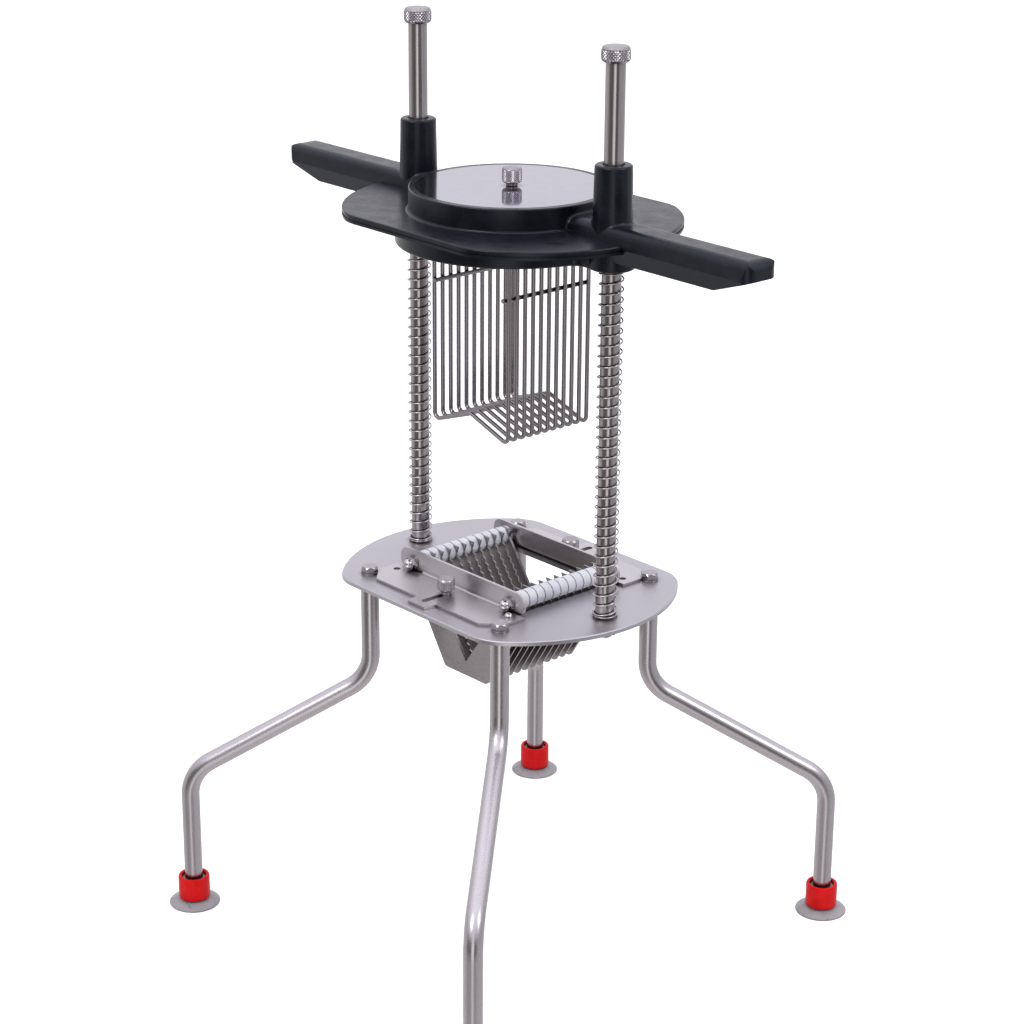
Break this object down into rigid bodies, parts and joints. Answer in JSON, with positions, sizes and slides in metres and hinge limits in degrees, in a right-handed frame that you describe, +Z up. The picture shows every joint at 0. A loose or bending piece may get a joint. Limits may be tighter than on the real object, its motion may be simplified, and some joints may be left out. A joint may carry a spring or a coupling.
{
  "type": "vegetable dicer",
  "caption": "Push-down fruit and vegetable dicer: sprung pusher head with a wire comb over a removable serrated blade cassette, on splayed tube legs.",
  "frame": {"origin": "on the floor under the middle of the stand", "axes": "+Z up along the guide rods, X along the two handles, Y along the tie rods of the blade cassette"},
  "size_m": [0.454, 0.3726, 0.64],
  "materials": {
    "plate_steel": "satin rolled stainless sheet",
    "blade_steel": "ground stainless",
    "tube_steel": "polished stainless tube",
    "rod_steel": "turned stainless bar",
    "spring_steel": "bright drawn wire",
    "wire_steel": "electropolished wire",
    "fastener_steel": "bright stainless fasteners",
    "knurled_steel": "turned and knurled stainless",
    "polished_steel": "mirror polished stainless sheet",
    "black_plastic": "fine grained black moulding",
    "bush_plastic": "natural bearing plastic",
    "white_plastic": "white turned plastic",
    "red_plastic": "glossy red moulding",
    "grey_rubber": "smoky grey soft rubber"
  },
  "bodies": {
    "stand": {"base_plate": "plate_steel", "leg_inserts": "fastener_steel", "leg_bolts": "fastener_steel", "leg_washers": "fastener_steel", "rod_nuts": "fastener_steel", "tie_rods": "fastener_steel", "dome_washers": "fastener_steel", "dome_nuts": "fastener_steel", "end_plate_front": "blade_steel", "end_plate_back": "blade_steel", "bracket_front": "plate_steel", "bracket_back": "plate_steel", "locating_studs": "fastener_steel", "leg_front": "tube_steel", "foot_collar_front": "red_plastic", "suction_cup_front": "grey_rubber", "leg_right": "tube_steel", "foot_collar_right": "red_plastic", "suction_cup_right": "grey_rubber", "leg_back": "tube_steel", "foot_collar_back": "red_plastic", "suction_cup_back": "grey_rubber", "leg_left": "tube_steel", "foot_collar_left": "red_plastic", "suction_cup_left": "grey_rubber", "guide_rod_left": "rod_steel", "spring_left": "spring_steel", "spacers_left": "white_plastic", "guide_rod_right": "rod_steel", "spring_right": "spring_steel", "spacers_right": "white_plastic", "blade_01": "blade_steel", "blade_02": "blade_steel", "blade_03": "blade_steel", "blade_04": "blade_steel", "blade_05": "blade_steel", "blade_06": "blade_steel", "blade_07": "blade_steel", "blade_08": "blade_steel", "blade_09": "blade_steel", "blade_10": "blade_steel"},
    "head": {"pusher_head": "black_plastic", "guide_bushes": "bush_plastic", "lid_disc": "polished_steel", "lid_stud": "fastener_steel", "comb_carrier": "plate_steel", "comb_wires": "wire_steel", "comb_cross_rods": "wire_steel"},
    "lid_knob": {"lid_knob": "knurled_steel"},
    "rod_cap_left": {"rod_cap_left": "knurled_steel"},
    "rod_cap_right": {"rod_cap_right": "knurled_steel"},
    "clamp_screw_front": {"clamp_screw_front": "knurled_steel"},
    "clamp_screw_back": {"clamp_screw_back": "knurled_steel"}
  },
  "joints": [
    {"name": "head_slide", "type": "slide", "parent": "stand", "child": "head", "axis": [0, 0, -1], "range_m": [0, 0.178], "stiffness_N_per_m": 300, "springref_m": -0.06, "deforming": ["spring_left", "spring_right"]},
    {"name": "lid_knob_turn", "type": "hinge", "parent": "head", "child": "lid_knob", "pos_m": [0, 0, 0.54], "axis": [0, 0, 1], "continuous": true},
    {"name": "rod_cap_left_turn", "type": "hinge", "parent": "stand", "child": "rod_cap_left", "pos_m": [-0.096, 0, 0.635], "axis": [0, 0, 1], "continuous": true},
    {"name": "rod_cap_right_turn", "type": "hinge", "parent": "stand", "child": "rod_cap_right", "pos_m": [0.096, 0, 0.635], "axis": [0, 0, 1], "continuous": true},
    {"name": "clamp_front_turn", "type": "hinge", "parent": "stand", "child": "clamp_screw_front", "pos_m": [0, -0.058, 0.265], "axis": [0, 0, 1], "continuous": true},
    {"name": "clamp_back_turn", "type": "hinge", "parent": "stand", "child": "clamp_screw_back", "pos_m": [0, 0.058, 0.265], "axis": [0, 0, 1], "continuous": true}
  ]
}
